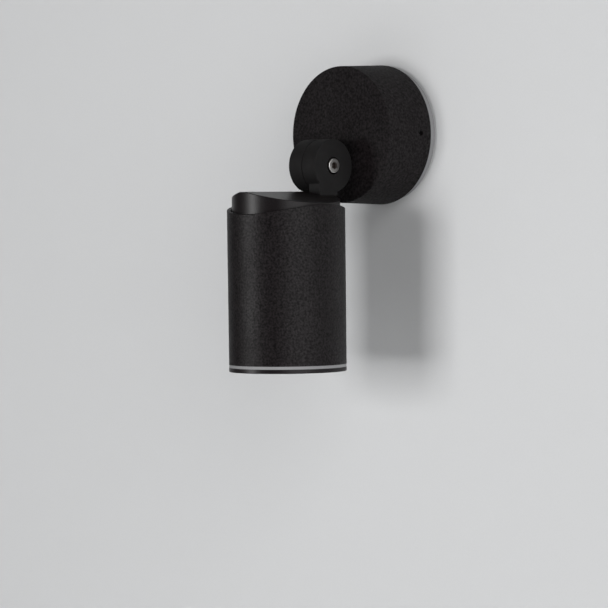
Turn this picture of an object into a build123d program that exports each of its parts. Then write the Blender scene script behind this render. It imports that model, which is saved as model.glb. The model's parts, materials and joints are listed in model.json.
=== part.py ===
from build123d import *
import os
from math import hypot, pi, sqrt

# Pivoting spotlight wall light, built the way it comes apart on a bench.
# Millimetres. The wall is the plane Y = 0 and the light stands out of it towards -Y; +Z is up,
# +X is to the right for someone who faces the wall. The origin is the centre of the rose on the wall.
# One solid per piece, or one group of solids for identical fasteners.

# ---------------------------------------------------------------- driving dimensions
# Rose: the round box on the wall
ROSE_BACK_R = 41.2        # outer radius at its open back
ROSE_DRAFT = 1.2          # the casting draft: its front face is this much smaller in radius
ROSE_LENGTH = 33.6        # from the gasket to the front face
ROSE_WALL = 3.0
ROSE_FACE_T = 4.0
ROSE_EDGE = 0.6           # rounding of the front edge
GASKET_T = 5.2            # soft grey ring between the rose and the wall
GASKET_INSET = 1.7        # its rim lies this far inside the rose's back rim
GASKET_WIDTH = 8.0
GRUB_R = 1.6              # grub screws that hold the rose on its bracket
GRUB_FROM_BACK = 8.0      # from the rose's back edge to the grub screws
GRUB_RECESS = 1.8         # how deep the screws lie in the rim
GRUB_BOSS_R = 4.2
GRUB_BOSS_IN = 4.6        # length of the boss inside the rim

# Bracket on the wall
BRACKET_T = 2.0
STRAP_HALF_W = 7.0
PLATE_R = 24.5
TAB_LENGTH = 17.0         # how far the two tabs stand off the wall
TAB_PLAY = 3.0            # from the tabs to the gasket's bore
BEND_R = 1.0              # inside radius of the two folds
WALL_HOLE_X = 20.0        # wall screws, left and right of the centre
WALL_SLOT_R = 2.3
WALL_SLOT_LENGTH = 9.0
CABLE_Z = -13.5           # cable entry, below the centre
CABLE_R = 4.0             # bore of the grommet
GROMMET_R = 9.0
GROMMET_WAIST_R = 6.5
GROMMET_T = 6.0
EARTH_X = 14.5
EARTH_Z = -12.0
EARTH_R = 2.0             # M4
BLOCK_Z = 15.0            # terminal block, above the centre
BLOCK_LENGTH = 30.0
BLOCK_HEIGHT = 12.0
BLOCK_DEPTH = 13.0
POLE_PITCH = 9.0
POLE_BORE_R = 2.0
POLE_WALL = 0.5           # wall of the brass tubes
TERMINAL_SCREW_R = 1.5
TERMINAL_SCREW_GAP = 6.0  # between the two screws of one pole
BLOCK_SCREW_R = 1.5       # M3

# Knuckle joint: two half knuckles side by side on one horizontal screw
HINGE_OUT = 16.8          # from the rose's face to the hinge axis
HINGE_Z = -18.4
KNUCKLE_R = 15.4
KNUCKLE_W = 10.8          # width of one half
KNUCKLE_EDGE = 0.7        # rounding of the outer rims
SEAM = 0.3                # gap between the two halves
TONGUE_T = 8.8            # thickness of each half's tongue, along the axis
TONGUE_LONG = 11.4        # the tongue reaches this far to one side of the axis
TONGUE_SHORT = 2.9        # and this far to the other
SEAM_EDGE = 0.3           # bevel of the two rims at the seam
WIRE_WAY_OUT_R = 11.4     # ring-shaped wire way inside the knuckle
WIRE_WAY_IN_R = 6.4
WIRE_WAY_SKIN = 2.2       # what is left outside the wire way
REAR_STUB_R = 4.0         # hollow threaded stub through the rose
REAR_WIRE_R = 2.4
FRONT_STUB_R = 3.0        # hollow threaded stub through the head's roof
FRONT_WIRE_R = 2.0
STUB_END = 1.5            # thread that stands out of each nut
PIN_R = 0.9               # locating pip that keeps the rear half from turning
PIN_LENGTH = 2.5
NUT_T = 4.0
WASHER_T = 1.2
SEAL_T = 1.2
REAR_NUT_FLATS = 13.0
FRONT_NUT_FLATS = 10.0
PIVOT_R = 2.5             # M5 socket screw
PIVOT_HEAD_R = 4.25
PIVOT_HEAD_H = 5.0
PIVOT_SOCKET = 4.0        # across flats
PIVOT_PROUD = 0.8         # the head stands this far out of its counterbore
COUNTERBORE_R = 5.0
PIVOT_NUT_FLATS = 8.0
PIVOT_NUT_T = 4.0
SPRING_WASHER_T = 1.1
SPRING_WASHER_R = 4.2
FRICTION_WASHER_T = 0.8
SEAL_RING_R = 13.3        # O-ring in the seam
SEAL_RING_THICK = 0.75

# Head: a roofed inner body inside an outer sleeve
HEAD_OUT = 28.3           # from the hinge axis to the axis of the head
HEAD_BOTTOM_Z = -136.6
CROWN_Z = -33.2           # top of the roof
CROWN_LEFT = -6.5         # the flat crown lies a little to the left of the middle
CROWN_RIGHT = -1.0
ROOF_SLOPE = 0.21         # fall of the roof to both sides
ROOF_T = 4.0
ROOF_EDGE = 0.4
SLEEVE_TOP_R = 34.1
SLEEVE_BOTTOM_R = 33.9
SLEEVE_WALL = 2.1         # at the bottom
SLEEVE_GAP = 0.6          # open gap between the sleeve and the body
SLEEVE_FRONT_Z = -45.9    # lowest point of the sleeve's scooped top edge, front and back
SLEEVE_RISE = 5.2         # the same edge is this much higher at the two sides
SLEEVE_EDGE = 0.35
BODY_WALL = 2.5
BAND_Z = -60.0            # ring on the body that the sleeve stops against
BAND_H = 4.0              # a second ring at the bottom end centres the sleeve there
LIP_H = 3.0               # lip in the sleeve that meets the band
FIT = 0.1                 # sliding clearance between the sleeve and what centres it
KNUCKLE_RELIEF = 0.8      # clearance of the roof round the knuckle
PAD_R = 6.0               # pad under the roof for the front stub's nut
PAD_Z = -41.5
POST_X = 20.0             # two posts under the roof carry the lampholder strap
POST_R = 4.0
STRAP_Z = -60.0           # top of the strap
STRAP_T = 1.5
STRAP_HALF_L = 25.0
STRAP_HALF_D = 12.5
STRAP_WIRE_R = 4.0
HOLDER_R = 14.0
HOLDER_H = 14.0
HOLDER_SCREW_Y = 9.5
HOLDER_SCREW_R = 1.5
POST_SCREW_R = 2.0

# Lamp: a standard reflector lamp, 50 mm wide, with two stud pins
LAMP_R = 25.0
LAMP_RIM_H = 5.0
LAMP_LENGTH = 47.0
LAMP_NECK_R = 12.5
LAMP_NECK_H = 12.0
LAMP_LENS_T = 2.0
LAMP_LENS_RIM = 2.0
PIN_PITCH = 10.0
LAMP_PIN_R = 2.5
LAMP_PIN_NECK_R = 1.6
LAMP_PIN_L = 7.0
PIN_PLAY = 0.4

# Front: bezel that screws into the body and holds the glass
BEZEL_T = 2.4
BEZEL_R = 33.9
BEZEL_EDGE = 0.3
BEZEL_LIP_T = 2.0
BEZEL_OPENING_R = 24.6
BEZEL_BEVEL = 1.2
SKIRT_H = 9.0
SKIRT_WALL = 1.8
THREAD_PLAY = 0.15
RING_T = 1.7              # light grey ring between the sleeve and the bezel
GLASS_T = 3.5
GLASS_SEAL_T = 0.7
GLASS_PLAY = 0.3
CLIP_T = 1.0
CLIP_BITE = 0.7           # how far the clip goes into the skirt's groove
CLIP_REACH = 1.4          # how far it stands over the glass
CLIP_OPEN = 24.0          # degrees left open in the clip

# ---------------------------------------------------------------- derived places
ROSE_FACE_R = ROSE_BACK_R - ROSE_DRAFT
GASKET_R = ROSE_BACK_R - GASKET_INSET
ROSE_BACK_Y = -GASKET_T
FACE_Y = ROSE_BACK_Y - ROSE_LENGTH
FACE_IN_Y = FACE_Y + ROSE_FACE_T
GRUB_Y = ROSE_BACK_Y - GRUB_FROM_BACK
GASKET_BORE_R = GASKET_R - GASKET_WIDTH
TAB_X = GASKET_BORE_R - TAB_PLAY
HINGE_Y = FACE_Y - HINGE_OUT
HEAD_Y = HINGE_Y - HEAD_OUT
TONGUE_MID_X = KNUCKLE_W - TONGUE_T / 2
BORE_R = SLEEVE_BOTTOM_R - SLEEVE_WALL
BODY_R = BORE_R - SLEEVE_GAP
CAVITY_R = BODY_R - BODY_WALL
SLEEVE_BOTTOM_Z = HEAD_BOTTOM_Z + BEZEL_T + RING_T
FLANGE_TOP_Z = HEAD_BOTTOM_Z + BEZEL_T
SKIRT_R = CAVITY_R - THREAD_PLAY
SKIRT_IN_R = SKIRT_R - SKIRT_WALL
GLASS_R = SKIRT_IN_R - GLASS_PLAY
SEAL_Z = HEAD_BOTTOM_Z + BEZEL_LIP_T
GLASS_Z = SEAL_Z + GLASS_SEAL_T
CLIP_Z = GLASS_Z + GLASS_T
REAR_STUB_Z = HINGE_Z + (TONGUE_LONG - TONGUE_SHORT) / 2
# The front stub sits under the tongue, and as near the wall side as its nut fits in the body.
NUT_CORNER_R = FRONT_NUT_FLATS / sqrt(3)
STUB_REACH = sqrt((CAVITY_R - NUT_CORNER_R - FIT) ** 2 - TONGUE_MID_X ** 2)
FRONT_STUB_Y = min(HEAD_Y + STUB_REACH, HINGE_Y - (TONGUE_LONG - TONGUE_SHORT) / 2)
COUNTERBORE_X = KNUCKLE_W + PIVOT_PROUD - PIVOT_HEAD_H - SPRING_WASHER_T
PIVOT_TIP_X = -KNUCKLE_W + 0.2
HOLDER_Z = STRAP_Z - STRAP_T
LAMP_TOP_Z = HOLDER_Z - HOLDER_H
LAMP_FACE_Z = LAMP_TOP_Z - LAMP_LENGTH
FAR = 200.0               # well past the object, for cutting shapes


# ---------------------------------------------------------------- basic shapes
def rod_x(radius, x_low, x_high, y=0.0, z=0.0):
    """Round bar along X."""
    return Pos((x_low + x_high) / 2, y, z) * Rot(0, 90, 0) * Cylinder(radius, x_high - x_low)


def rod_y(radius, y_low, y_high, x=0.0, z=0.0):
    """Round bar along Y."""
    return Pos(x, (y_low + y_high) / 2, z) * Rot(90, 0, 0) * Cylinder(radius, y_high - y_low)


def rod_z(radius, z_low, z_high, x=0.0, y=0.0):
    """Round bar along Z."""
    return Pos(x, y, (z_low + z_high) / 2) * Cylinder(radius, z_high - z_low)


def block(x_low, x_high, y_low, y_high, z_low, z_high):
    """Box between two corners."""
    centre = Pos((x_low + x_high) / 2, (y_low + y_high) / 2, (z_low + z_high) / 2)
    return centre * Box(x_high - x_low, y_high - y_low, z_high - z_low)


def hex_prism(flats, height):
    """Hexagonal prism on the XY plane, centred, along Z."""
    return Pos(0, 0, -height / 2) * extrude(RegularPolygon(flats / sqrt(3), 6), height)


def hex_x(flats, x_low, x_high, y, z):
    """Hexagonal bar along X."""
    return Pos((x_low + x_high) / 2, y, z) * Rot(0, 90, 0) * hex_prism(flats, x_high - x_low)


def turned_z(points, y=0.0):
    """Solid turned about a vertical axis from an outline of (radius, height) points."""
    outline = make_face(Polyline(*[(r, 0, h) for r, h in points], close=True))
    return Pos(0, y, 0) * revolve(outline, Axis.Z)


def both_sides(shape):
    """A piece and its mirror image left and right of the middle plane."""
    return [shape, mirror(shape, Plane.YZ)]


# ---------------------------------------------------------------- on the wall
def wall_gasket():
    """Soft ring that seals the rose to the wall."""
    ring = rod_y(GASKET_R, -GASKET_T, 0) - rod_y(GASKET_BORE_R, -GASKET_T, 0)
    return ring


def slot_y(half_width, length, x):
    """Slot along X, cut through the bracket."""
    reach = length / 2 - half_width
    middle = block(x - reach, x + reach, -BRACKET_T, 0, -half_width, half_width)
    return middle + [rod_y(half_width, -BRACKET_T, 0, x + s * reach) for s in (-1, 1)]


def wall_bracket():
    """Folded steel strap with a round plate: slots for the wall screws, tabs for the grub screws."""
    strap = block(-TAB_X, TAB_X, -TAB_LENGTH, 0, -STRAP_HALF_W, STRAP_HALF_W)
    strap -= block(-TAB_X + BRACKET_T, TAB_X - BRACKET_T, -TAB_LENGTH, -BRACKET_T, -FAR, FAR)
    strap = fillet(strap.edges().filter_by(Axis.Z).group_by(Axis.Y)[-2], BEND_R)
    strap = fillet(strap.edges().filter_by(Axis.Z).group_by(Axis.Y)[-1], BEND_R + BRACKET_T)
    plate = strap + rod_y(PLATE_R, -BRACKET_T, 0)
    plate -= [slot_y(WALL_SLOT_R, WALL_SLOT_LENGTH, s * WALL_HOLE_X) for s in (-1, 1)]
    plate -= rod_y(GROMMET_WAIST_R, -BRACKET_T, 0, 0, CABLE_Z)
    plate -= rod_y(EARTH_R, -BRACKET_T, 0, EARTH_X, EARTH_Z)
    plate -= rod_y(BLOCK_SCREW_R, -BRACKET_T, 0, POLE_PITCH / 2, BLOCK_Z)
    return plate


def cable_grommet():
    """Rubber grommet in the bracket's cable hole, flush with the wall at its back."""
    flange_t = (GROMMET_T - BRACKET_T) / 2
    front = rod_y(GROMMET_R, -BRACKET_T - flange_t, -BRACKET_T, 0, CABLE_Z)
    front = fillet(front.edges().group_by(Axis.Y)[0], flange_t / 2)
    nose = rod_y(GROMMET_WAIST_R - 1.0, -GROMMET_T, 0, 0, CABLE_Z)
    waist = rod_y(GROMMET_WAIST_R, -BRACKET_T, 0, 0, CABLE_Z)
    return front + nose + waist - rod_y(CABLE_R, -GROMMET_T, 0, 0, CABLE_Z)


def pan_screw_y(radius, head_y, tip_y, x, z):
    """Pan-head screw along Y with a slot; its head starts at head_y and stands towards -Y."""
    head_r, head_h = 1.9 * radius, 1.2 * radius
    head = rod_y(head_r, head_y - head_h, head_y, x, z)
    head = fillet(head.edges().group_by(Axis.Y)[0], head_h / 3)
    screw = head + rod_y(radius, head_y, tip_y, x, z)
    slot_half = radius / 4
    return screw - block(x - head_r, x + head_r, head_y - head_h, head_y - head_h / 2,
                         z - slot_half, z + slot_half)


def earth_screw():
    """Earthing screw on the bracket."""
    return pan_screw_y(EARTH_R, -BRACKET_T, 0, EARTH_X, EARTH_Z)


def pole_places():
    """X of each pole of the terminal block."""
    return [i * POLE_PITCH for i in (-1, 0, 1)]


def terminal_screw_places():
    """X and Z of the six clamping screws."""
    half = TERMINAL_SCREW_GAP / 2
    return [(x, BLOCK_Z + s * half) for x in pole_places() for s in (-1, 1)]


BLOCK_BACK_Y = -BRACKET_T
BLOCK_FRONT_Y = BLOCK_BACK_Y - BLOCK_DEPTH
POLE_Y = BLOCK_BACK_Y - BLOCK_DEPTH * 0.42


def terminal_block():
    """Three-pole block for the supply wires, with a raised rib along each pole."""
    low_z, high_z = BLOCK_Z - BLOCK_HEIGHT / 2, BLOCK_Z + BLOCK_HEIGHT / 2
    base = block(-BLOCK_LENGTH / 2, BLOCK_LENGTH / 2, POLE_Y - POLE_BORE_R, BLOCK_BACK_Y, low_z, high_z)
    base = fillet(base.edges().filter_by(Axis.Y), 1.0)
    for x in pole_places():
        base += block(x - 3.2, x + 3.2, BLOCK_FRONT_Y, POLE_Y, low_z, high_z)
        base -= rod_z(POLE_BORE_R, low_z, high_z, x, POLE_Y)
    for x, z in terminal_screw_places():
        base -= rod_y(TERMINAL_SCREW_R + 0.2, BLOCK_FRONT_Y, POLE_Y, x, z)
    base -= rod_y(2.1 * BLOCK_SCREW_R, -FAR, POLE_Y - POLE_BORE_R, POLE_PITCH / 2, BLOCK_Z)
    return base - rod_y(BLOCK_SCREW_R, -FAR, 0, POLE_PITCH / 2, BLOCK_Z)


def terminal_tubes():
    """Brass tubes in the three poles."""
    low_z, high_z = BLOCK_Z - BLOCK_HEIGHT / 2 + 1, BLOCK_Z + BLOCK_HEIGHT / 2 - 1
    tubes = []
    for x in pole_places():
        tube = rod_z(POLE_BORE_R, low_z, high_z, x, POLE_Y)
        tube -= rod_z(POLE_BORE_R - POLE_WALL, low_z, high_z, x, POLE_Y)
        tubes.append(tube)
    return tubes


def terminal_screws():
    """Six small clamping screws, one node."""
    tip_y = POLE_Y - POLE_BORE_R
    screws = []
    for x, z in terminal_screw_places():
        screw = rod_y(TERMINAL_SCREW_R, BLOCK_FRONT_Y + 0.6, tip_y, x, z)
        screws.append(screw - block(x - 2, x + 2, BLOCK_FRONT_Y, BLOCK_FRONT_Y + 1.3, z - 0.3, z + 0.3))
    return screws


def block_screw():
    """Screw that holds the terminal block on the bracket."""
    return pan_screw_y(BLOCK_SCREW_R, POLE_Y - POLE_BORE_R, 0, POLE_PITCH / 2, BLOCK_Z)


# ---------------------------------------------------------------- rose
def rose_radius(y):
    """Outer radius of the rose at a given Y."""
    share = (ROSE_BACK_Y - y) / ROSE_LENGTH
    return ROSE_BACK_R + (ROSE_FACE_R - ROSE_BACK_R) * share


def rose_cover():
    """Cast round box: drafted rim, flat face, bosses for the grub screws, holes for the rear knuckle."""
    middle_y = (ROSE_BACK_Y + FACE_Y) / 2
    shell = Pos(0, middle_y, 0) * Rot(90, 0, 0) * Cone(ROSE_BACK_R, ROSE_FACE_R, ROSE_LENGTH)
    shell = fillet(shell.edges().group_by(Axis.Y)[0], ROSE_EDGE)
    depth = ROSE_LENGTH - ROSE_FACE_T
    hollow = Cone(ROSE_BACK_R - ROSE_WALL, rose_radius(FACE_IN_Y) - ROSE_WALL, depth)
    shell -= Pos(0, (ROSE_BACK_Y + FACE_IN_Y) / 2, 0) * Rot(90, 0, 0) * hollow
    grub_out = rose_radius(GRUB_Y)
    boss_in = grub_out - ROSE_WALL - GRUB_BOSS_IN
    shell += both_sides(rod_x(GRUB_BOSS_R, boss_in, grub_out - ROSE_WALL / 2, GRUB_Y))
    shell -= rod_x(GRUB_R, -FAR, FAR, GRUB_Y)
    shell -= rod_y(REAR_STUB_R, FACE_Y, FACE_IN_Y, -TONGUE_MID_X, REAR_STUB_Z)
    return shell - rod_y(PIN_R, FACE_Y, FACE_Y + PIN_LENGTH, -TONGUE_MID_X, locating_pip_z())


def locating_pip_z():
    """Height of the pip that keeps the rear knuckle from turning on its stub."""
    stub_top, tongue_top = REAR_STUB_Z + REAR_STUB_R, HINGE_Z + TONGUE_LONG
    return (stub_top + tongue_top) / 2


def rose_grub_screws():
    """Two socket grub screws, left and right in the rim, tight on the bracket's tabs."""
    outer_x = rose_radius(GRUB_Y) - GRUB_RECESS
    screw = rod_x(GRUB_R, TAB_X, outer_x, GRUB_Y)
    screw -= hex_x(GRUB_R, outer_x - GRUB_R, outer_x, GRUB_Y, 0)
    return both_sides(screw)


# ---------------------------------------------------------------- knuckle joint
def wire_way(x_low, x_high):
    """Ring-shaped room for the wires round the pivot."""
    ring = rod_x(WIRE_WAY_OUT_R, x_low, x_high, HINGE_Y, HINGE_Z)
    return ring - rod_x(WIRE_WAY_IN_R, x_low, x_high, HINGE_Y, HINGE_Z)


def half_knuckle(side):
    """Round half of the knuckle without its tongue; side is +1 for the front half, -1 for the rear."""
    x_low, x_high = sorted((side * SEAM / 2, side * KNUCKLE_W))
    disc = rod_x(KNUCKLE_R, x_low, x_high, HINGE_Y, HINGE_Z)
    rims = disc.edges().group_by(Axis.X)
    outer, seam = (-1, 0) if side > 0 else (0, -1)
    disc = fillet(rims[outer], KNUCKLE_EDGE)
    return chamfer(disc.edges().group_by(Axis.X)[seam], SEAM_EDGE)


def washer_seat(side):
    """Shallow seat for half of the friction washer, in the mating face of one half."""
    x_low, x_high = sorted((side * SEAM / 2, side * FRICTION_WASHER_T / 2))
    return rod_x(WIRE_WAY_IN_R, x_low, x_high, HINGE_Y, HINGE_Z)


def rear_knuckle():
    """Half knuckle on the rose: tongue, hollow threaded stub, wire way, pocket for the nut."""
    z_low, z_high = HINGE_Z - TONGUE_SHORT, HINGE_Z + TONGUE_LONG
    tongue = block(-KNUCKLE_W, -KNUCKLE_W + TONGUE_T, HINGE_Y, FACE_Y, z_low, z_high)
    piece = half_knuckle(-1) + tongue
    stub_end = FACE_IN_Y + SEAL_T + WASHER_T + NUT_T + STUB_END
    piece += rod_y(REAR_STUB_R, FACE_Y - 1, stub_end, -TONGUE_MID_X, REAR_STUB_Z)
    piece += rod_y(PIN_R, FACE_Y - 1, FACE_Y + PIN_LENGTH, -TONGUE_MID_X, locating_pip_z())
    piece -= wire_way(-KNUCKLE_W + WIRE_WAY_SKIN, -SEAM / 2)
    piece -= rod_y(REAR_WIRE_R, HINGE_Y + WIRE_WAY_IN_R + 1, stub_end, -TONGUE_MID_X, REAR_STUB_Z)
    piece -= rod_x(PIVOT_R + FIT / 2, -KNUCKLE_W, 0, HINGE_Y, HINGE_Z)
    piece -= hex_x(PIVOT_NUT_FLATS + 2 * FIT, -KNUCKLE_W, -KNUCKLE_W + PIVOT_NUT_T + 2 * FIT,
                   HINGE_Y, HINGE_Z)
    piece -= washer_seat(-1)
    groove_in, groove_out = SEAL_RING_R - SEAL_RING_THICK - FIT, SEAL_RING_R + SEAL_RING_THICK + FIT
    groove_x = -SEAM / 2 - 2 * SEAL_RING_THICK
    groove = rod_x(groove_out, groove_x, 0, HINGE_Y, HINGE_Z) - rod_x(groove_in, groove_x, 0, HINGE_Y, HINGE_Z)
    return piece - groove


def front_knuckle():
    """Half knuckle on the head: tongue cut to the roof, hollow stub, counterbore for the screw."""
    y_low, y_high = HINGE_Y - TONGUE_LONG, HINGE_Y + TONGUE_SHORT
    tongue_x = KNUCKLE_W - TONGUE_T
    tongue = block(tongue_x, KNUCKLE_W, y_low, y_high, CROWN_Z - 10, HINGE_Z)
    roof = under_roof(0) & block(tongue_x, FAR, -FAR, 0, -FAR, 0)
    piece = half_knuckle(1) + tongue - roof
    stub_end = PAD_Z - WASHER_T - NUT_T - STUB_END
    piece += rod_z(FRONT_STUB_R, stub_end, CROWN_Z + 1, TONGUE_MID_X, FRONT_STUB_Y)
    piece -= wire_way(SEAM / 2, KNUCKLE_W - WIRE_WAY_SKIN)
    piece -= rod_z(FRONT_WIRE_R, stub_end, HINGE_Z - WIRE_WAY_IN_R, TONGUE_MID_X, FRONT_STUB_Y)
    piece -= rod_x(PIVOT_R + FIT / 2, 0, KNUCKLE_W, HINGE_Y, HINGE_Z)
    piece -= rod_x(COUNTERBORE_R, COUNTERBORE_X, KNUCKLE_W, HINGE_Y, HINGE_Z)
    mouth = piece.edges().filter_by(GeomType.CIRCLE).group_by(Axis.X)[-1]
    mouth = mouth.filter_by(lambda e: abs(e.radius - COUNTERBORE_R) < 0.01)
    return chamfer(mouth, 0.3) - washer_seat(1)


def knuckle_seal():
    """O-ring in the seam between the halves, in the rear half's groove."""
    ring_x = -SEAM / 2 - SEAL_RING_THICK
    return Pos(ring_x, HINGE_Y, HINGE_Z) * Rot(0, 90, 0) * Torus(SEAL_RING_R, SEAL_RING_THICK)


def friction_washer():
    """Hard plastic washer that gives the joint its drag."""
    half = FRICTION_WASHER_T / 2 - FIT / 4
    ring = rod_x(WIRE_WAY_IN_R - FIT, -half, half, HINGE_Y, HINGE_Z)
    return ring - rod_x(PIVOT_R + FIT / 2, -half, half, HINGE_Y, HINGE_Z)


def pivot_screw():
    """M5 socket screw that is the hinge pin and clamps the joint."""
    head_low = COUNTERBORE_X + SPRING_WASHER_T
    head = rod_x(PIVOT_HEAD_R, head_low, head_low + PIVOT_HEAD_H, HINGE_Y, HINGE_Z)
    head = fillet(head.edges().group_by(Axis.X)[-1], 0.4)
    screw = head + rod_x(PIVOT_R, PIVOT_TIP_X, head_low, HINGE_Y, HINGE_Z)
    socket_depth = PIVOT_HEAD_H / 2
    return screw - hex_x(PIVOT_SOCKET, head_low + PIVOT_HEAD_H - socket_depth, FAR, HINGE_Y, HINGE_Z)


def spring_washer():
    """Split washer under the screw head."""
    x_low, x_high = COUNTERBORE_X, COUNTERBORE_X + SPRING_WASHER_T
    ring = rod_x(SPRING_WASHER_R, x_low, x_high, HINGE_Y, HINGE_Z)
    ring -= rod_x(PIVOT_R + FIT, x_low, x_high, HINGE_Y, HINGE_Z)
    return ring - block(x_low, x_high, HINGE_Y, HINGE_Y + SPRING_WASHER_R, HINGE_Z - 0.3, HINGE_Z + 0.3)


def pivot_nut():
    """M5 nut in the rear half's hexagonal pocket."""
    x_low = -KNUCKLE_W + FIT
    nut = hex_x(PIVOT_NUT_FLATS, x_low, x_low + PIVOT_NUT_T, HINGE_Y, HINGE_Z)
    return nut - rod_x(PIVOT_R, x_low, x_low + PIVOT_NUT_T, HINGE_Y, HINGE_Z)


def rear_stack(inner_r, outer_r, start, thickness):
    """Washer-like ring on the rear stub, inside the rose."""
    y_low = FACE_IN_Y + start
    ring = rod_y(outer_r, y_low, y_low + thickness, -TONGUE_MID_X, REAR_STUB_Z)
    return ring - rod_y(inner_r, y_low, y_low + thickness, -TONGUE_MID_X, REAR_STUB_Z)


def rear_stub_seal():
    """Rubber seal round the rear stub."""
    return rear_stack(REAR_STUB_R, REAR_NUT_FLATS / 2, 0, SEAL_T)


def rear_stub_washer():
    """Steel washer on the rear stub."""
    return rear_stack(REAR_STUB_R, REAR_NUT_FLATS / 2 + 1, SEAL_T, WASHER_T)


def rear_stub_nut():
    """Nut that clamps the rear knuckle to the rose."""
    y_middle = FACE_IN_Y + SEAL_T + WASHER_T + NUT_T / 2
    nut = Pos(-TONGUE_MID_X, y_middle, REAR_STUB_Z) * Rot(90, 0, 0) * hex_prism(REAR_NUT_FLATS, NUT_T)
    return nut - rod_y(REAR_STUB_R, y_middle - NUT_T, y_middle + NUT_T, -TONGUE_MID_X, REAR_STUB_Z)


def front_stub_washer():
    """Steel washer on the front stub, inside the head."""
    washer = rod_z(NUT_CORNER_R, PAD_Z - WASHER_T, PAD_Z, TONGUE_MID_X, FRONT_STUB_Y)
    return washer - rod_z(FRONT_STUB_R, PAD_Z - WASHER_T, PAD_Z, TONGUE_MID_X, FRONT_STUB_Y)


def front_stub_nut():
    """Nut that clamps the front knuckle to the head."""
    z_high = PAD_Z - WASHER_T
    nut = Pos(TONGUE_MID_X, FRONT_STUB_Y, z_high - NUT_T / 2) * hex_prism(FRONT_NUT_FLATS, NUT_T)
    return nut - rod_z(FRONT_STUB_R, z_high - NUT_T, z_high, TONGUE_MID_X, FRONT_STUB_Y)


# ---------------------------------------------------------------- head
def under_roof(drop):
    """Everything below the roof, or below a roof set lower by drop."""
    crown_z = CROWN_Z - drop
    left = (-FAR, crown_z - ROOF_SLOPE * (FAR + CROWN_LEFT))
    right = (FAR, crown_z - ROOF_SLOPE * (FAR - CROWN_RIGHT))
    points = [left, (CROWN_LEFT, crown_z), (CROWN_RIGHT, crown_z), right, (FAR, -2 * FAR), (-FAR, -2 * FAR)]
    outline = make_face(Polyline(*[(x, FAR, z) for x, z in points], close=True))
    return extrude(outline, 2 * FAR, dir=(0, -1, 0))


def head_body():
    """Roofed inner body: cup with a gabled top, band for the sleeve, posts and pad inside."""
    shell = rod_z(BODY_R, SLEEVE_BOTTOM_Z, CROWN_Z + 1, 0, HEAD_Y) & under_roof(0)
    rim = shell.edges().filter_by(lambda e: e.geom_type != GeomType.LINE and e.center().Z > BAND_Z)
    shell = fillet(rim, ROOF_EDGE)
    for band_top in (BAND_Z, SLEEVE_BOTTOM_Z + BAND_H):
        shell += rod_z(BORE_R - FIT, band_top - BAND_H, band_top, 0, HEAD_Y)
    cavity = rod_z(CAVITY_R, SLEEVE_BOTTOM_Z, CROWN_Z, 0, HEAD_Y) & under_roof(ROOF_T)
    posts = [rod_z(POST_R, STRAP_Z, CROWN_Z, s * POST_X, HEAD_Y) for s in (-1, 1)]
    pad = rod_z(PAD_R, PAD_Z, CROWN_Z, TONGUE_MID_X, FRONT_STUB_Y)
    shell -= cavity - posts - pad
    shell -= [rod_z(POST_SCREW_R, STRAP_Z, STRAP_Z + 8, s * POST_X, HEAD_Y) for s in (-1, 1)]
    shell -= rod_z(FRONT_STUB_R, PAD_Z, CROWN_Z, TONGUE_MID_X, FRONT_STUB_Y)
    relief_end = KNUCKLE_W - TONGUE_T + SEAM
    relief_r = KNUCKLE_R + KNUCKLE_RELIEF
    return shell - rod_x(relief_r, -KNUCKLE_W - KNUCKLE_RELIEF, relief_end, HINGE_Y, HINGE_Z)


def scoop():
    """Cutter for the sleeve's top edge: an arc across X, lowest in the middle."""
    radius = (SLEEVE_TOP_R ** 2 + SLEEVE_RISE ** 2) / (2 * SLEEVE_RISE)
    return rod_y(radius, HEAD_Y - FAR, HEAD_Y + FAR, 0, SLEEVE_FRONT_Z + radius)


def outer_sleeve():
    """Outer tube with a light draft, a scooped top edge and an inner lip."""
    top_z = SLEEVE_FRONT_Z + SLEEVE_RISE
    outline = [(BORE_R, SLEEVE_BOTTOM_Z), (SLEEVE_BOTTOM_R, SLEEVE_BOTTOM_Z), (SLEEVE_TOP_R, top_z),
               (BORE_R, top_z)]
    sleeve = turned_z(outline, HEAD_Y) - scoop()
    rim = sleeve.edges().group_by(Axis.Z)[-1] + sleeve.edges().filter_by(
        lambda e: e.geom_type != GeomType.LINE and e.center().Z > BAND_Z)
    sleeve = fillet(list(set(rim)), SLEEVE_EDGE)
    lip_high = BAND_Z - BAND_H
    lip = rod_z(BORE_R + 0.5, lip_high - LIP_H, lip_high, 0, HEAD_Y)
    lip -= rod_z(BODY_R + 2 * FIT, lip_high - LIP_H, lip_high, 0, HEAD_Y)
    return sleeve + lip


def lampholder_strap():
    """Steel strap across the body that carries the lampholder."""
    z_low = STRAP_Z - STRAP_T
    strap = block(-STRAP_HALF_L, STRAP_HALF_L, HEAD_Y - STRAP_HALF_D, HEAD_Y + STRAP_HALF_D, z_low, STRAP_Z)
    strap = strap & rod_z(CAVITY_R - 2 * FIT, z_low, STRAP_Z, 0, HEAD_Y)
    strap -= rod_z(STRAP_WIRE_R, z_low, STRAP_Z, 0, HEAD_Y)
    strap -= [rod_z(POST_SCREW_R, z_low, STRAP_Z, s * POST_X, HEAD_Y) for s in (-1, 1)]
    strap -= [rod_z(HOLDER_SCREW_R, z_low, STRAP_Z, 0, HEAD_Y + s * HOLDER_SCREW_Y) for s in (-1, 1)]
    return strap


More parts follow.
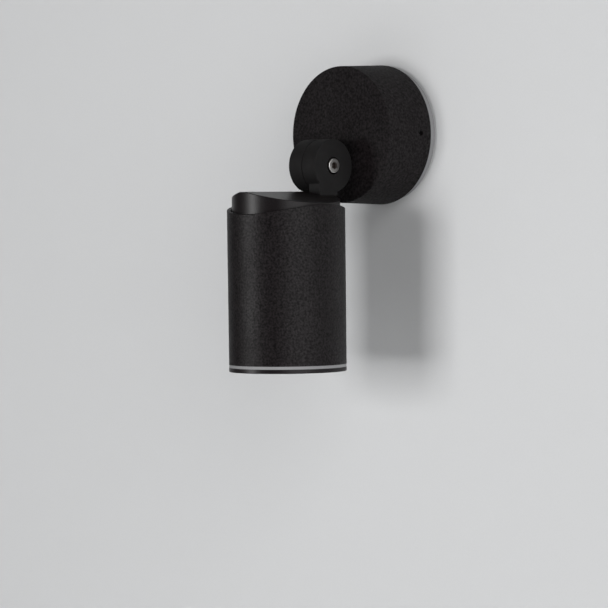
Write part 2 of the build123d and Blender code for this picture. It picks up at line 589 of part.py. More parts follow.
def pan_screw_z(radius, seat_z, tip_z, x, y, points_up):
    """Pan-head screw along Z; its head sits on seat_z, on the side away from the tip."""
    head_r, head_h = 1.9 * radius, 1.2 * radius
    head_end = seat_z - head_h if points_up else seat_z + head_h
    head = rod_z(head_r, min(seat_z, head_end), max(seat_z, head_end), x, y)
    head = fillet(head.edges().group_by(Axis.Z)[0 if points_up else -1], head_h / 3)
    screw = head + rod_z(radius, min(seat_z, tip_z), max(seat_z, tip_z), x, y)
    slot_z = (seat_z + head_end) / 2
    slot_half = radius / 4
    return screw - block(x - head_r, x + head_r, y - slot_half, y + slot_half,
                         min(slot_z, head_end), max(slot_z, head_end))


def strap_screws():
    """Two screws that hold the strap on its posts."""
    low = STRAP_Z - STRAP_T
    return [pan_screw_z(POST_SCREW_R, low, low + 8, s * POST_X, HEAD_Y, True) for s in (-1, 1)]


def lampholder():
    """Ceramic lampholder with two pin holes and a recess for the wires."""
    holder = rod_z(HOLDER_R, LAMP_TOP_Z, HOLDER_Z, 0, HEAD_Y)
    holder = fillet(holder.edges().group_by(Axis.Z)[0], 1.0)
    holder -= rod_z(STRAP_WIRE_R, HOLDER_Z - 3, HOLDER_Z, 0, HEAD_Y)
    for side in (-1, 1):
        holder -= rod_z(LAMP_PIN_R + PIN_PLAY, LAMP_TOP_Z, LAMP_TOP_Z + LAMP_PIN_L + 1,
                        side * PIN_PITCH / 2, HEAD_Y)
        holder -= rod_z(HOLDER_SCREW_R, HOLDER_Z - 6, HOLDER_Z, 0, HEAD_Y + side * HOLDER_SCREW_Y)
    return holder


def lampholder_screws():
    """Two screws that hold the lampholder under the strap."""
    return [pan_screw_z(HOLDER_SCREW_R, STRAP_Z, STRAP_Z - STRAP_T - 5, 0, HEAD_Y + s * HOLDER_SCREW_Y,
                        False) for s in (-1, 1)]


def lamp_shell():
    """Reflector lamp: round neck, flared body and front rim round the lens."""
    rim_z = LAMP_FACE_Z + LAMP_RIM_H
    neck_z = LAMP_TOP_Z - LAMP_NECK_H
    lens_r = LAMP_R - LAMP_LENS_RIM
    outline = [(0, LAMP_TOP_Z), (LAMP_NECK_R, LAMP_TOP_Z), (LAMP_NECK_R, neck_z),
               (LAMP_NECK_R + 3, neck_z - 2), (LAMP_R, rim_z), (LAMP_R, LAMP_FACE_Z),
               (lens_r, LAMP_FACE_Z), (lens_r, LAMP_FACE_Z + LAMP_LENS_T), (0, LAMP_FACE_Z + LAMP_LENS_T)]
    return turned_z(outline, HEAD_Y)


def lamp_lens():
    """Front lens of the lamp, slightly domed."""
    lens_r = LAMP_R - LAMP_LENS_RIM
    lens = rod_z(lens_r, LAMP_FACE_Z - 0.6, LAMP_FACE_Z + LAMP_LENS_T, 0, HEAD_Y)
    return fillet(lens.edges().group_by(Axis.Z)[0], 0.5)


def lamp_pins():
    """Two stud pins of the lamp."""
    pins = []
    for side in (-1, 1):
        x = side * PIN_PITCH / 2
        pin = rod_z(LAMP_PIN_NECK_R, LAMP_TOP_Z, LAMP_TOP_Z + LAMP_PIN_L, x, HEAD_Y)
        pin += rod_z(LAMP_PIN_R, LAMP_TOP_Z + LAMP_PIN_L - 2.5, LAMP_TOP_Z + LAMP_PIN_L, x, HEAD_Y)
        pins.append(pin)
    return pins


# ---------------------------------------------------------------- front of the head
def bezel_ring():
    """Light grey sealing ring between the sleeve and the bezel."""
    ring = rod_z(BEZEL_R - FIT, FLANGE_TOP_Z, SLEEVE_BOTTOM_Z, 0, HEAD_Y)
    return ring - rod_z(SKIRT_R + FIT, FLANGE_TOP_Z, SLEEVE_BOTTOM_Z, 0, HEAD_Y)


def front_bezel():
    """Screw-in bezel: flange, skirt, bevelled opening and a groove for the clip."""
    skirt_top = FLANGE_TOP_Z + SKIRT_H
    groove_r = SKIRT_IN_R + CLIP_BITE
    outline = [(BEZEL_OPENING_R + BEZEL_BEVEL, HEAD_BOTTOM_Z), (BEZEL_R, HEAD_BOTTOM_Z),
               (BEZEL_R, FLANGE_TOP_Z), (SKIRT_R, FLANGE_TOP_Z), (SKIRT_R, skirt_top),
               (SKIRT_IN_R, skirt_top), (SKIRT_IN_R, CLIP_Z + CLIP_T), (groove_r, CLIP_Z + CLIP_T),
               (groove_r, CLIP_Z), (SKIRT_IN_R, CLIP_Z), (SKIRT_IN_R, SEAL_Z),
               (BEZEL_OPENING_R, SEAL_Z), (BEZEL_OPENING_R, HEAD_BOTTOM_Z + BEZEL_BEVEL)]
    bezel = turned_z(outline, HEAD_Y)
    rim = bezel.edges().filter_by(lambda e: e.geom_type == GeomType.CIRCLE and abs(e.radius - BEZEL_R) < 0.01)
    return fillet(rim.group_by(Axis.Z)[0], BEZEL_EDGE)


def glass_seal():
    """Flat seal between the bezel's lip and the glass."""
    ring = rod_z(GLASS_R, SEAL_Z, GLASS_Z, 0, HEAD_Y)
    return ring - rod_z(BEZEL_OPENING_R + FIT, SEAL_Z, GLASS_Z, 0, HEAD_Y)


def front_glass():
    """Toughened glass disc with a ground edge."""
    glass = rod_z(GLASS_R, GLASS_Z, CLIP_Z, 0, HEAD_Y)
    return chamfer(glass.edges().filter_by(GeomType.CIRCLE), 0.4)


def glass_clip():
    """Open spring ring in the bezel's groove, over the glass."""
    ring = rod_z(SKIRT_IN_R + CLIP_BITE - FIT, CLIP_Z, CLIP_Z + CLIP_T, 0, HEAD_Y)
    ring -= rod_z(SKIRT_IN_R - CLIP_REACH, CLIP_Z, CLIP_Z + CLIP_T, 0, HEAD_Y)
    opening = SKIRT_IN_R * CLIP_OPEN * pi / 360
    return ring - block(-opening, opening, HEAD_Y, HEAD_Y + FAR, CLIP_Z, CLIP_Z + CLIP_T)


# ---------------------------------------------------------------- all pieces
PIECES = {
    "wall_gasket": wall_gasket,
    "wall_bracket": wall_bracket,
    "cable_grommet": cable_grommet,
    "earth_screw": earth_screw,
    "terminal_block": terminal_block,
    "terminal_tubes": terminal_tubes,
    "terminal_screws": terminal_screws,
    "block_screw": block_screw,
    "rose_cover": rose_cover,
    "rose_grub_screws": rose_grub_screws,
    "rear_knuckle": rear_knuckle,
    "rear_stub_seal": rear_stub_seal,
    "rear_stub_washer": rear_stub_washer,
    "rear_stub_nut": rear_stub_nut,
    "knuckle_seal": knuckle_seal,
    "friction_washer": friction_washer,
    "pivot_screw": pivot_screw,
    "spring_washer": spring_washer,
    "pivot_nut": pivot_nut,
    "front_knuckle": front_knuckle,
    "front_stub_washer": front_stub_washer,
    "front_stub_nut": front_stub_nut,
    "head_body": head_body,
    "outer_sleeve": outer_sleeve,
    "lampholder_strap": lampholder_strap,
    "strap_screws": strap_screws,
    "lampholder": lampholder,
    "lampholder_screws": lampholder_screws,
    "lamp_shell": lamp_shell,
    "lamp_lens": lamp_lens,
    "lamp_pins": lamp_pins,
    "bezel_ring": bezel_ring,
    "front_bezel": front_bezel,
    "glass_seal": glass_seal,
    "front_glass": front_glass,
    "glass_clip": glass_clip,
}


def solids_of(shape):
    """List of the solids in a shape or in a list of shapes."""
    shapes = shape if isinstance(shape, list) else [shape]
    return [solid for one in shapes for solid in one.solids()]


def main():
    """Write each piece to its own file."""
    os.makedirs("parts", exist_ok=True)
    for name, make in PIECES.items():
        solids = solids_of(make())
        piece = solids[0] if len(solids) == 1 else Compound(children=solids)
        export_step(piece, os.path.join("parts", name + ".step"))
        print(f"{name}: {len(solids)} solid(s), {sum(s.volume for s in solids) / 1000:.2f} cm3")


if __name__ == "__main__":
    main()
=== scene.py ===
"""Pivoting spotlight wall light: finishes, wall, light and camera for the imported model.

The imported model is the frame. Each sub-assembly below dresses its own pieces. All sizes are in
metres, with the wall at Y = 0, +Z up and the light standing out of the wall towards -Y.
"""

import json
import logging
import math
from dataclasses import dataclass, field
from enum import Enum

import bpy
from mathutils import Matrix, Vector

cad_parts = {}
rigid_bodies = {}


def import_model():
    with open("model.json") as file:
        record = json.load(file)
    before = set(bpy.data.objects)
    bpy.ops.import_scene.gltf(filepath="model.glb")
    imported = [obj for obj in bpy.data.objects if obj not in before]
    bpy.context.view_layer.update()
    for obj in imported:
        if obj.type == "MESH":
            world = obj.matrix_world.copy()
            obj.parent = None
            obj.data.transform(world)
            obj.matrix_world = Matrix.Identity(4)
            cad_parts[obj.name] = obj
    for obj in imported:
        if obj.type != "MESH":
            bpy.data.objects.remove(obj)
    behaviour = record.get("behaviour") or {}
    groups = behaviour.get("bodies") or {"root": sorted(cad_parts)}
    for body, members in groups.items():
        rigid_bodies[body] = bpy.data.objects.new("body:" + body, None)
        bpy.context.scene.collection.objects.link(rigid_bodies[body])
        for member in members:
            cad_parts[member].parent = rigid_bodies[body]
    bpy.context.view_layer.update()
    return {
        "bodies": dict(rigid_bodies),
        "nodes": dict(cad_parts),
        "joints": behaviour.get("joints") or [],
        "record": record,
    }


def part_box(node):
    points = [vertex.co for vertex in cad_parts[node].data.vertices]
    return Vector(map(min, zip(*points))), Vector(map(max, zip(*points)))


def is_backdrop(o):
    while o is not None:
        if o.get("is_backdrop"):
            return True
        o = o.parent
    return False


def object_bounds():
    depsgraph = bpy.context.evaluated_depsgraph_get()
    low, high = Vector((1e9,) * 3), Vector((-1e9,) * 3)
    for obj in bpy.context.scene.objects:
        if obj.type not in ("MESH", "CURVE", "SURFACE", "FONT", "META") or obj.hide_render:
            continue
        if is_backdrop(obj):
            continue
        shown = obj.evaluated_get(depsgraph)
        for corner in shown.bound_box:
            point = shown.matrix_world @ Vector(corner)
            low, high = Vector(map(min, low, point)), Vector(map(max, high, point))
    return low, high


LOG = logging.getLogger("wall_light")
Colour = tuple[float, float, float]
Point = tuple[float, float, float]
Socket = bpy.types.NodeSocket
MM = 0.001
PLAIN_WHITE = (1.0, 1.0, 1.0, 1.0)


# ---------------------------------------------------------------- node helpers
class Pattern(Enum):
    """Which way a noise is stretched."""

    EVEN = (1.0, 1.0, 1.0)
    ALONG_X = (0.04, 1.0, 1.0)


class Step(Enum):
    """One step of arithmetic, by its name on the Math node."""

    LESS = "SUBTRACT"
    SIZE = "ABSOLUTE"
    TIMES = "MULTIPLY"


class Bench:
    """One material under construction: a node tree with a Principled shader."""

    def __init__(self, name: str) -> None:
        """Start an empty material.

        Args:
            name: the material's name.
        """
        self.material = bpy.data.materials.new(name)
        self.material.use_nodes = True
        self.tree = self.material.node_tree
        self.tree.nodes.clear()
        self.output = self.tree.nodes.new("ShaderNodeOutputMaterial")
        self.shader = self.tree.nodes.new("ShaderNodeBsdfPrincipled")
        self.link(self.shader.outputs["BSDF"], self.output.inputs["Surface"])

    def link(self, source: Socket, target: Socket) -> None:
        """Join two sockets."""
        self.tree.links.new(source, target)

    def place(self, pattern: Pattern = Pattern.EVEN) -> Socket:
        """Object coordinates, stretched to suit a pattern.

        Args:
            pattern: the stretch.

        Returns:
            The vector socket.
        """
        coordinates = self.tree.nodes.new("ShaderNodeTexCoord")
        mapping = self.tree.nodes.new("ShaderNodeMapping")
        mapping.inputs["Scale"].default_value = pattern.value
        self.link(coordinates.outputs["Object"], mapping.inputs["Vector"])
        return mapping.outputs["Vector"]

    def noise(self, grain: float, detail: float = 2.0,
              pattern: Pattern = Pattern.EVEN) -> Socket:
        """Noise with grains of a given size.

        Args:
            grain: size of a grain, in metres.
            detail: number of finer layers.
            pattern: the stretch.

        Returns:
            The noise value, from 0 to 1.
        """
        node = self.tree.nodes.new("ShaderNodeTexNoise")
        node.inputs["Scale"].default_value = 1.0 / grain
        node.inputs["Detail"].default_value = detail
        self.link(self.place(pattern), node.inputs["Vector"])
        return node.outputs["Fac"]

    def pebbles(self, grain: float, roundness: float = 0.6) -> Socket:
        """Distance to the middle of the nearest pebble.

        Args:
            grain: size of a pebble, in metres.
            roundness: how far neighbouring pebbles run together.

        Returns:
            The distance value.
        """
        node = self.tree.nodes.new("ShaderNodeTexVoronoi")
        node.feature = "SMOOTH_F1"
        node.inputs["Scale"].default_value = 1.0 / grain
        node.inputs["Smoothness"].default_value = roundness
        self.link(self.place(), node.inputs["Vector"])
        return node.outputs["Distance"]

    def spread(self, value: Socket, low: float, high: float,
               from_low: float = 0.3, from_high: float = 0.7) -> Socket:
        """Move a value's range.

        Args:
            value: the value.
            low: result at from_low.
            high: result at from_high.
            from_low: value that gives low.
            from_high: value that gives high.

        Returns:
            The new value.
        """
        node = self.tree.nodes.new("ShaderNodeMapRange")
        node.inputs["From Min"].default_value = from_low
        node.inputs["From Max"].default_value = from_high
        node.inputs["To Min"].default_value = low
        node.inputs["To Max"].default_value = high
        self.link(value, node.inputs["Value"])
        return node.outputs["Result"]

    def reckon(self, step: Step, first: Socket, second: Socket | float = 0.0) -> Socket:
        """Do one step of arithmetic.

        Args:
            step: the step.
            first: first value.
            second: second value; a step on one value doesn't use it.

        Returns:
            The result.
        """
        node = self.tree.nodes.new("ShaderNodeMath")
        node.operation = step.value
        self.link(first, node.inputs[0])
        if isinstance(second, float):
            node.inputs[1].default_value = second
        else:
            self.link(second, node.inputs[1])
        return node.outputs["Value"]

    def off_plane(self, level: float) -> Socket:
        """Distance from a plane square to X.

        Args:
            level: X of the plane, in metres.

        Returns:
            The distance.
        """
        parts = self.tree.nodes.new("ShaderNodeSeparateXYZ")
        self.link(self.place(), parts.inputs["Vector"])
        return self.reckon(Step.SIZE, self.reckon(Step.LESS, parts.outputs["X"], level))

    def two_colours(self, value: Socket, dark: Colour, light: Colour) -> Socket:
        """Blend two colours by a value.

        Args:
            value: 0 gives dark, 1 gives light.
            dark: first colour.
            light: second colour.

        Returns:
            The colour socket.
        """
        node = self.tree.nodes.new("ShaderNodeMix")
        node.data_type = "RGBA"
        colour_a = next(s for s in node.inputs if s.name == "A" and s.type == "RGBA")
        colour_b = next(s for s in node.inputs if s.name == "B" and s.type == "RGBA")
        colour_a.default_value = (*dark, 1.0)
        colour_b.default_value = (*light, 1.0)
        self.link(value, node.inputs["Factor"])
        return next(s for s in node.outputs if s.type == "RGBA")

    def relief(self, height: Socket, depth: float, under: Socket | None = None) -> Socket:
        """Bump from a height.

        Args:
            height: the height value, from 0 to 1.
            depth: depth of the relief, in metres.
            under: a coarser bump below this one.

        Returns:
            The normal socket.
        """
        node = self.tree.nodes.new("ShaderNodeBump")
        node.inputs["Distance"].default_value = depth
        node.inputs["Strength"].default_value = 1.0
        self.link(height, node.inputs["Height"])
        if under is not None:
            self.link(under, node.inputs["Normal"])
        return node.outputs["Normal"]

    def dial(self, **values: float) -> None:
        """Set numbers on the shader's own sockets; an underscore stands for a space."""
        for name, value in values.items():
            self.shader.inputs[name.replace("_", " ")].default_value = value


# ---------------------------------------------------------------- finishes
@dataclass(frozen=True)
class Finish:
    """A finish with a fine grain: two close colours, a roughness range and a bump.

    Attributes:
        name: the material's name.
        dark: colour of the grain's hollows.
        light: colour of the grain's tops.
        roughness: lowest and highest roughness.
        metallic: 1 for bare metal.
        grain: size of a grain.
        depth: depth of the grain's relief.
        stretch: which way the grain is drawn out.
        specular: strength of the plain reflection.
        detail: number of finer layers in the grain.
        patch: size of a patch of even roughness, in grains.
    """

    name: str
    dark: Colour
    light: Colour
    roughness: tuple[float, float]
    metallic: float = 0.0
    grain: float = 0.4 * MM
    depth: float = 0.02 * MM
    stretch: Pattern = Pattern.EVEN
    specular: float = 0.5
    detail: float = 3.0
    patch: float = 40.0

    def make(self) -> bpy.types.Material:
        """Build the material.

        Returns:
            The material.
        """
        bench = Bench(self.name)
        fine = bench.noise(self.grain, self.detail, self.stretch)
        slow = bench.noise(self.grain * self.patch)
        bench.link(bench.two_colours(bench.spread(fine, 0.0, 1.0), self.dark, self.light),
                   bench.shader.inputs["Base Color"])
        bench.link(bench.spread(slow, *self.roughness), bench.shader.inputs["Roughness"])
        bench.link(bench.relief(fine, self.depth), bench.shader.inputs["Normal"])
        bench.dial(Metallic=self.metallic, Specular_IOR_Level=self.specular)
        return bench.material


@dataclass(frozen=True)
class PowderCoat(Finish):
    """Fine-textured powder coat: rounded pebbles with a finer grain on them.

    Attributes:
        pebble: size of a pebble.
        pebble_depth: depth of the pebbles' relief.
        pebble_edge: distance from a pebble's middle at which its relief ends, in pebbles.
        speckle: how much the plain reflection varies over the grain.
    """

    detail: float = 2.0
    patch: float = 30.0
    pebble: float = 1.2 * MM
    pebble_depth: float = 0.08 * MM
    pebble_edge: float = 0.8
    speckle: float = 0.35

    def make(self) -> bpy.types.Material:
        """Build the material.

        Returns:
            The material.
        """
        bench = Bench(self.name)
        pebbles = bench.spread(bench.pebbles(self.pebble), 1.0, 0.0, 0.0, self.pebble_edge)
        fine = bench.noise(self.grain, self.detail)
        bench.link(bench.two_colours(bench.spread(fine, 0.0, 1.0), self.dark, self.light),
                   bench.shader.inputs["Base Color"])
        bench.link(bench.spread(bench.noise(self.grain * self.patch), *self.roughness),
                   bench.shader.inputs["Roughness"])
        coarse = bench.relief(pebbles, self.pebble_depth)
        bench.link(bench.relief(fine, self.depth, under=coarse), bench.shader.inputs["Normal"])
        dull, bright = self.specular * (1 - self.speckle), self.specular * (1 + self.speckle)
        bench.link(bench.spread(fine, dull, bright), bench.shader.inputs["Specular IOR Level"])
        bench.dial(Metallic=self.metallic)
        return bench.material


@dataclass(frozen=True)
class SocketSteel(Finish):
    """Steel with painted shade darkening the floor of its hexagon socket.

    Attributes:
        floor: X of the socket's floor.
        rise: how far up from the floor the painted shade reaches.
        worn: brightness of the grain's hollows, as a share of its tops.
    """

    floor: float = 9.1 * MM
    rise: float = 1.6 * MM
    worn: float = 0.8

    def make(self) -> bpy.types.Material:
        """Build the material.

        Returns:
            The material.
        """
        bench = Bench(self.name)
        fine = bench.noise(self.grain, self.detail)
        # Painted shade: unshaded is 0 on the socket's floor and 1 from the rise up, and the
        # colour turns dark towards the floor.
        unshaded = bench.spread(bench.off_plane(self.floor), 0.0, 1.0, 0.0, self.rise)
        bright = bench.reckon(Step.TIMES, unshaded, bench.spread(fine, self.worn, 1.0))
        bench.link(bench.two_colours(bright, self.dark, self.light),
                   bench.shader.inputs["Base Color"])
        smooth, rough = self.roughness
        bench.link(bench.spread(unshaded, rough, smooth, 0.0, 1.0), bench.shader.inputs["Roughness"])
        bench.link(bench.relief(fine, self.depth), bench.shader.inputs["Normal"])
        bench.dial(Metallic=self.metallic, Specular_IOR_Level=self.specular)
        return bench.material


@dataclass(frozen=True)
class ClearGlass(Finish):
    """Clear glass with slight waviness.

    Attributes:
        bend: refractive index.
    """

    detail: float = 1.0
    bend: float = 1.5

    def make(self) -> bpy.types.Material:
        """Build the material.

        Returns:
            The material.
        """
        bench = Bench(self.name)
        slow = bench.noise(self.grain, self.detail)
        bench.link(bench.two_colours(bench.spread(slow, 0.0, 1.0), self.dark, self.light),
                   bench.shader.inputs["Base Color"])
        bench.link(bench.spread(slow, *self.roughness), bench.shader.inputs["Roughness"])
        bench.link(bench.relief(slow, self.depth), bench.shader.inputs["Normal"])
        bench.dial(Transmission_Weight=1.0, IOR=self.bend, Specular_IOR_Level=self.specular)
        return bench.material


POWDER_BLACK = PowderCoat("black_powder_coat", dark=(0.0012, 0.0008, 0.0009),
                          light=(0.0074, 0.0052, 0.0059), roughness=(0.76, 0.86),
                          grain=1.4 * MM, depth=0.09 * MM, specular=0.245)
SLEEVE_BLACK = PowderCoat("black_sleeve_coat", dark=(0.0012, 0.0008, 0.0009),
                          light=(0.0086, 0.0062, 0.0070), roughness=(0.45, 0.53),
                          grain=1.2 * MM, depth=0.05 * MM, specular=0.18)
MATT_BLACK = Finish("matt_black_paint", dark=(0.0012, 0.0009, 0.0010),
                    light=(0.0036, 0.0028, 0.0030), roughness=(0.70, 0.80),
                    grain=0.3 * MM, depth=0.008 * MM, specular=0.34)
SATIN_BLACK = Finish("satin_black_paint", dark=(0.0028, 0.0020, 0.0023),
                     light=(0.0096, 0.0072, 0.0080), roughness=(0.35, 0.41),
                     grain=0.6 * MM, depth=0.02 * MM, specular=0.22)
BLACKED_STEEL = Finish("blacked_steel", dark=(0.018, 0.018, 0.019), light=(0.034, 0.033, 0.034),
                       roughness=(0.38, 0.50), metallic=1.0, grain=0.3 * MM, depth=0.006 * MM)
GREY_SILICONE = Finish("grey_silicone", dark=(0.20, 0.20, 0.205), light=(0.25, 0.25, 0.255),
                       roughness=(0.55, 0.7), grain=0.3 * MM, depth=0.01 * MM)
BLACK_RUBBER = Finish("black_rubber", dark=(0.012, 0.012, 0.012), light=(0.022, 0.022, 0.022),
                      roughness=(0.6, 0.75), grain=0.3 * MM, depth=0.015 * MM)
STAINLESS = Finish("stainless_steel", dark=(0.76, 0.75, 0.73), light=(0.90, 0.89, 0.87),
                   roughness=(0.26, 0.36), metallic=1.0, grain=0.15 * MM, depth=0.004 * MM,
                   stretch=Pattern.ALONG_X)
# Here the dark colour is painted shade on the socket's floor, and the light colour is the bare
# steel.
SOCKET_STEEL = SocketSteel("socket_steel_painted_shade", dark=(0.045, 0.035, 0.030),
                           light=(0.72, 0.70, 0.68), roughness=(0.30, 0.55), metallic=1.0,
                           grain=0.15 * MM, depth=0.004 * MM)
ZINC_STEEL = Finish("zinc_plated_steel", dark=(0.48, 0.49, 0.50), light=(0.62, 0.63, 0.65),
                    roughness=(0.28, 0.45), metallic=1.0, grain=0.4 * MM, depth=0.006 * MM)
BRASS = Finish("brass", dark=(0.56, 0.38, 0.13), light=(0.70, 0.50, 0.20), roughness=(0.22, 0.38),
               metallic=1.0, grain=0.25 * MM, depth=0.005 * MM)
BLOCK_PLASTIC = Finish("moulded_block_plastic", dark=(0.62, 0.60, 0.55), light=(0.72, 0.70, 0.66),
                       roughness=(0.4, 0.55), grain=0.5 * MM, depth=0.008 * MM)
WASHER_PLASTIC = Finish("white_washer_plastic", dark=(0.66, 0.66, 0.63), light=(0.74, 0.74, 0.72),
                        roughness=(0.35, 0.5), grain=0.4 * MM, depth=0.005 * MM)
CERAMIC = Finish("fired_ceramic", dark=(0.66, 0.63, 0.56), light=(0.78, 0.76, 0.70),
                 roughness=(0.5, 0.7), grain=0.5 * MM, depth=0.02 * MM)
REFLECTOR = Finish("silvered_reflector_glass", dark=(0.70, 0.71, 0.73), light=(0.80, 0.81, 0.82),
                   roughness=(0.12, 0.22), metallic=0.9, grain=2.0 * MM, depth=0.03 * MM)
FRONT_GLASS = ClearGlass("front_glass", dark=(0.93, 0.97, 0.95), light=(0.97, 1.0, 0.99),
                         roughness=(0.0, 0.02), grain=12.0 * MM, depth=0.01 * MM)
LAMP_LENS = ClearGlass("lamp_lens", dark=(0.90, 0.91, 0.92), light=(0.97, 0.98, 0.98),
                       roughness=(0.10, 0.16), grain=3.0 * MM, depth=0.06 * MM)


# ---------------------------------------------------------------- sub-assemblies
@dataclass
class SubAssembly:
    """Pieces that are dressed together.

    Attributes:
        title: what the sub-assembly is.
        nodes: piece name to finish.
    """

    title: str
    nodes: dict[str, Finish]

    def build(self, frame: dict) -> list[bpy.types.Object]:
        """Fetch the pieces of this sub-assembly.

        Args:
            frame: the loaded frame.

        Returns:
            The pieces.
        """
        return [frame["nodes"][name] for name in self.nodes]

    def dress(self, pieces: list[bpy.types.Object], shelf: dict[str, bpy.types.Material]) -> None:
        """Give each piece its finish.

        Args:
            pieces: the pieces, in the order of nodes.
            shelf: materials already made, by finish name.
        """
        for piece, finish in zip(pieces, self.nodes.values()):
            if finish.name not in shelf:
                shelf[finish.name] = finish.make()
            piece.data.materials.clear()
            piece.data.materials.append(shelf[finish.name])
            LOG.info("%s: %s in %s", self.title, piece.name, finish.name)


@dataclass
class WallFixing(SubAssembly):
    """Everything between the wall and the rose."""

    title: str = "wall fixing"
    nodes: dict[str, Finish] = field(default_factory=lambda: {
        "wall_gasket": GREY_SILICONE, "wall_bracket": ZINC_STEEL, "cable_grommet": BLACK_RUBBER,
        "earth_screw": BRASS, "terminal_block": BLOCK_PLASTIC, "terminal_tubes": BRASS,
        "terminal_screws": ZINC_STEEL, "block_screw": ZINC_STEEL})


@dataclass
class Rose(SubAssembly):
    """The round box on the wall and its grub screws."""

    title: str = "rose"
    nodes: dict[str, Finish] = field(default_factory=lambda: {
        "rose_cover": POWDER_BLACK, "rose_grub_screws": BLACKED_STEEL})


@dataclass
class KnuckleJoint(SubAssembly):
    """Both half knuckles with their screw, nuts and seals."""

    title: str = "knuckle joint"
    nodes: dict[str, Finish] = field(default_factory=lambda: {
        "rear_knuckle": MATT_BLACK, "rear_stub_seal": BLACK_RUBBER,
        "rear_stub_washer": ZINC_STEEL, "rear_stub_nut": ZINC_STEEL,
        "knuckle_seal": BLACK_RUBBER, "friction_washer": WASHER_PLASTIC,
        "pivot_screw": SOCKET_STEEL, "spring_washer": STAINLESS, "pivot_nut": STAINLESS,
        "front_knuckle": MATT_BLACK, "front_stub_washer": ZINC_STEEL,
        "front_stub_nut": ZINC_STEEL})


@dataclass
class LampHead(SubAssembly):
    """The roofed body, its sleeve and what carries the lamp."""

    title: str = "lamp head"
    nodes: dict[str, Finish] = field(default_factory=lambda: {
        "head_body": SATIN_BLACK, "outer_sleeve": SLEEVE_BLACK, "lampholder_strap": ZINC_STEEL,
        "strap_screws": ZINC_STEEL, "lampholder": CERAMIC, "lampholder_screws": ZINC_STEEL})


@dataclass
class ReflectorLamp(SubAssembly):
    """The lamp."""

    title: str = "lamp"
    nodes: dict[str, Finish] = field(default_factory=lambda: {
        "lamp_shell": REFLECTOR, "lamp_lens": LAMP_LENS, "lamp_pins": STAINLESS})


@dataclass
class Bezel(SubAssembly):
    """The screw-in front with its glass."""

    title: str = "bezel"
    nodes: dict[str, Finish] = field(default_factory=lambda: {
        "bezel_ring": GREY_SILICONE, "front_bezel": SATIN_BLACK, "glass_seal": BLACK_RUBBER,
        "front_glass": FRONT_GLASS, "glass_clip": STAINLESS})


# ---------------------------------------------------------------- surroundings
@dataclass
class Room:
    """Pale wall and floor, joined by a cove.

    Attributes:
        half_width: half the width of the wall.
        height: top of the wall above the origin.
        floor: floor below the origin.
        depth: how far the floor comes forward.
        cove: radius of the cove between them.
        steps: faces round the cove.
        dark: darker colour of the paint.
        light: lighter colour of the paint.
        grain: size of a grain in the paint.
        relief: depth of the grain.
        roughness: roughness of the paint.
        specular: strength of its plain reflection.
    """

    half_width: float = 3.0
    height: float = 2.5
    floor: float = -0.9
    depth: float = 4.0
    cove: float = 0.25
    steps: int = 24
    dark: Colour = (0.60, 0.605, 0.61)
    light: Colour = (0.63, 0.635, 0.64)
    grain: float = 1.2 * MM
    relief: float = 0.02 * MM
    roughness: float = 0.8
    specular: float = 0.2

    def profile(self, wall_y: float) -> list[tuple[float, float]]:
        """Outline of the wall, cove and floor, from the top down.

        Args:
            wall_y: place of the wall.

        Returns:
            Points (Y, Z).
        """
        centre_y, centre_z = wall_y - self.cove, self.floor + self.cove
        turn = [math.pi / 2 * i / self.steps for i in range(self.steps + 1)]
        arc = [(centre_y + self.cove * math.cos(a), centre_z - self.cove * math.sin(a))
               for a in turn]
        return [(wall_y, self.height), *arc, (wall_y - self.depth, self.floor)]

    def build(self, wall_y: float) -> bpy.types.Object:
        """Make the wall and floor.

        Args:
            wall_y: place of the wall.

        Returns:
            The staged object.
        """
        points = self.profile(wall_y)
        vertices = [(x, y, z) for x in (-self.half_width, self.half_width) for y, z in points]
        count = len(points)
        faces = [(i, i + 1, count + i + 1, count + i) for i in range(count - 1)]
        mesh = bpy.data.meshes.new("room")
        mesh.from_pydata(vertices, [], faces)
        for polygon in mesh.polygons:
            polygon.use_smooth = True
        room = bpy.data.objects.new("room", mesh)
        bpy.context.scene.collection.objects.link(room)
        room.visible_shadow = False
        mesh.materials.append(self.paint())
        room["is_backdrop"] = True
        return room

    def paint(self) -> bpy.types.Material:
        """Matt wall paint that is clear from behind.

        Returns:
            The material.
        """
        bench = Bench("wall_paint")
        fine = bench.noise(self.grain)
        bench.link(bench.two_colours(fine, self.dark, self.light),
                   bench.shader.inputs["Base Color"])
        bench.link(bench.relief(fine, self.relief), bench.shader.inputs["Normal"])
        bench.dial(Roughness=self.roughness, Specular_IOR_Level=self.specular)
        nodes = bench.tree.nodes
        clear = nodes.new("ShaderNodeBsdfTransparent")
        side = nodes.new("ShaderNodeNewGeometry")
        mix = nodes.new("ShaderNodeMixShader")
        bench.link(side.outputs["Backfacing"], mix.inputs["Fac"])
        bench.link(bench.shader.outputs["BSDF"], mix.inputs[1])
        bench.link(clear.outputs["BSDF"], mix.inputs[2])
        bench.link(mix.outputs["Shader"], bench.output.inputs["Surface"])
        return bench.material


@dataclass(frozen=True)
class Softbox:
    """A square area light aimed at the object.

    Attributes:
        name: the light's name.
        place: where it hangs.
        size: side of the square.
        watts: its power.
        lights: whether it lights matt surfaces.
        shines: whether it shows as a reflection.
    """

    name: str
    place: Point
    size: float
    watts: float
    lights: bool = True
    shines: bool = True

    def build(self, target: Vector) -> None:
        """Hang the light.

        Args:
            target: the point it is aimed at.
        """
        data = bpy.data.lights.new(self.name, "AREA")
        data.shape, data.size = "SQUARE", self.size
        data.energy = self.watts
        lamp = bpy.data.objects.new(self.name, data)
        lamp.location = self.place
        lamp.visible_diffuse, lamp.visible_glossy = self.lights, self.shines
        lamp.rotation_mode = "QUATERNION"
        lamp.rotation_quaternion = (target - Vector(self.place)).to_track_quat("-Z", "Y")
        bpy.context.scene.collection.objects.link(lamp)
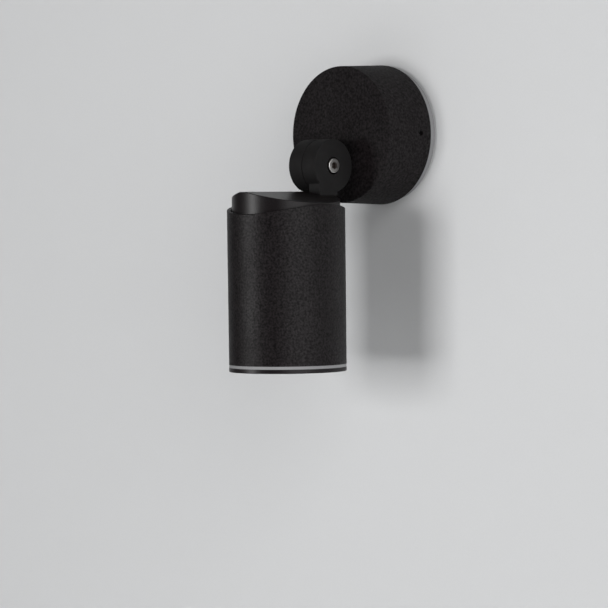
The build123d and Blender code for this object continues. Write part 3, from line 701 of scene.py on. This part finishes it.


# The key gives light and shadow, and the sheen gives only reflections, chiefly the one on the
# head.
SOFTBOXES = (
    Softbox("key", (-0.12, -2.05, -0.04), 0.75, 26.0, shines=False),
    Softbox("sheen", (-1.00, -1.83, 0.0), 0.4, 16.0, lights=False),
    Softbox("fill", (2.40, -1.05, 0.5), 2.6, 54.0),
    Softbox("back", (0.4, 1.8, 0.6), 1.4, 4.0),
)
WORLD_LIGHT = 0.05


@dataclass(frozen=True)
class Viewpoint:
    """The photograph's camera, from a fit to the object's outlines.

    Attributes:
        azimuth: degrees the camera is turned to the left from looking square at the wall.
        pitch: degrees it looks up.
        roll: degrees it is rolled.
        focal: focal length in pixels of the frame.
        distance: depth of the wall's origin, in metres.
        origin: where the origin shows in the frame, in pixels.
        frame: width and height of the frame, in pixels.
        sensor: width of the sensor, in millimetres.
        near: nearest distance that shows.
        far: farthest distance that shows.
    """

    azimuth: float = 45.47
    pitch: float = -1.72
    roll: float = -0.68
    focal: float = 3100.0
    distance: float = 1.8425
    origin: tuple[float, float] = (386.3, 135.1)
    frame: float = 608.0
    sensor: float = 36.0
    near: float = 0.05
    far: float = 50.0

    def build(self) -> bpy.types.Object:
        """Make the camera.

        Returns:
            The camera.
        """
        turn, tilt, roll = (math.radians(a) for a in (self.azimuth, self.pitch, self.roll))
        ahead = Vector((-math.sin(turn) * math.cos(tilt), math.cos(turn) * math.cos(tilt),
                        math.sin(tilt)))
        level = Vector((math.cos(turn), math.sin(turn), 0.0))
        above = level.cross(ahead)
        right = math.cos(roll) * level + math.sin(roll) * above
        up = math.cos(roll) * above - math.sin(roll) * level
        middle = self.frame / 2
        across = (self.origin[0] - middle) / self.focal
        down = (self.origin[1] - middle) / self.focal
        data = bpy.data.cameras.new("camera")
        data.sensor_width, data.lens = self.sensor, self.focal / self.frame * self.sensor
        data.clip_start, data.clip_end = self.near, self.far
        camera = bpy.data.objects.new("camera", data)
        stand = Matrix.Translation(-self.distance * (ahead + across * right - down * up))
        camera.matrix_world = stand @ Matrix((right, up, -ahead)).transposed().to_4x4()
        bpy.context.scene.collection.objects.link(camera)
        bpy.context.scene.camera = camera
        return camera


def light_the_room(target: Vector) -> None:
    """Hang the softboxes and set the plain surrounding light.

    Args:
        target: the point the softboxes are aimed at.
    """
    for box in SOFTBOXES:
        box.build(target)
    world = bpy.data.worlds.new("plain_light")
    world.use_nodes = True
    background = world.node_tree.nodes["Background"]
    background.inputs["Color"].default_value = PLAIN_WHITE
    background.inputs["Strength"].default_value = WORLD_LIGHT
    bpy.context.scene.world = world


def main() -> None:
    """Load the frame, dress every sub-assembly, then set up the room, light and camera."""
    logging.basicConfig(level=logging.INFO, format="%(message)s")
    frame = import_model()
    shelf: dict[str, bpy.types.Material] = {}
    for part in (WallFixing(), Rose(), KnuckleJoint(), LampHead(), ReflectorLamp(), Bezel()):
        part.dress(part.build(frame), shelf)
    wall_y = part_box("wall_gasket")[1].y
    Room().build(wall_y)
    low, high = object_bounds()
    light_the_room((low + high) / 2)
    Viewpoint().build()
    bpy.context.scene.view_settings.view_transform = "Standard"


if __name__ == "__main__":
    main()
